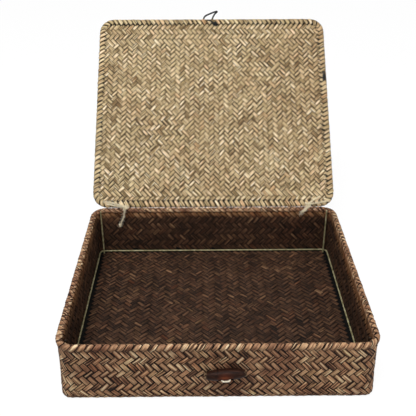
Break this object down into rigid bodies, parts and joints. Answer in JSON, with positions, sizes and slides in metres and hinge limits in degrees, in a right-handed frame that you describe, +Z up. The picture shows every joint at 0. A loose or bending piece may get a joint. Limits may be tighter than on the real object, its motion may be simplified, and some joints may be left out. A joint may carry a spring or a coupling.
{
  "type": "woven lidded box",
  "caption": "Rectangular plaited seagrass storage box with a flat hinged lid tied on with twine, a wire frame, and an elastic loop that closes over a wooden toggle.",
  "frame": {"origin": "middle of the box's underside, on the surface that it stands on", "axes": "+Z up, +Y from the toggle side to the hinge side, +X to the right seen from the toggle side"},
  "size_m": [0.401, 0.6312, 0.348],
  "materials": {
    "stained_seagrass": "brown stained plaited seagrass, slightly shiny",
    "dark_seagrass": "dark brown stained plaited seagrass, matt",
    "natural_seagrass": "natural tan plaited seagrass, slightly shiny",
    "frame_wire": "olive grey coated steel wire",
    "toggle_wood": "dark red-brown polished wood",
    "cotton_cord": "cream cotton cord",
    "hinge_twine": "cream twisted twine",
    "elastic_cord": "black covered elastic cord",
    "wrap_tape": "dark grey cloth tape"
  },
  "bodies": {
    "basket": {"outer_basket": "stained_seagrass", "inner_basket": "dark_seagrass", "frame_rim_hoop": "frame_wire", "frame_floor_hoop": "frame_wire", "frame_post_front_left": "frame_wire", "frame_post_front_right": "frame_wire", "frame_post_back_left": "frame_wire", "frame_post_back_right": "frame_wire", "hinge_tie_left": "hinge_twine", "hinge_tie_right": "hinge_twine", "toggle_cord_knot": "cotton_cord"},
    "lid": {"lid_outer_mat": "stained_seagrass", "lid_inner_mat": "natural_seagrass", "lid_hoop": "frame_wire", "lid_hoop_wrap": "wrap_tape", "closing_loop": "elastic_cord", "closing_loop_knot": "elastic_cord"},
    "toggle": {"toggle_button": "toggle_wood", "toggle_cord": "cotton_cord"}
  },
  "joints": [
    {"name": "lid_hinge", "type": "hinge", "parent": "basket", "child": "lid", "pos_m": [0, 0.176, 0.0882], "axis": [1, 0, 0], "range_deg": [0, 135], "deforming": ["hinge_tie_left", "hinge_tie_right"]},
    {"name": "toggle_swivel", "type": "hinge", "parent": "basket", "child": "toggle", "pos_m": [0.009, -0.18182, 0.05161], "axis": [0, 1, 0], "range_deg": [-30, 30]}
  ]
}
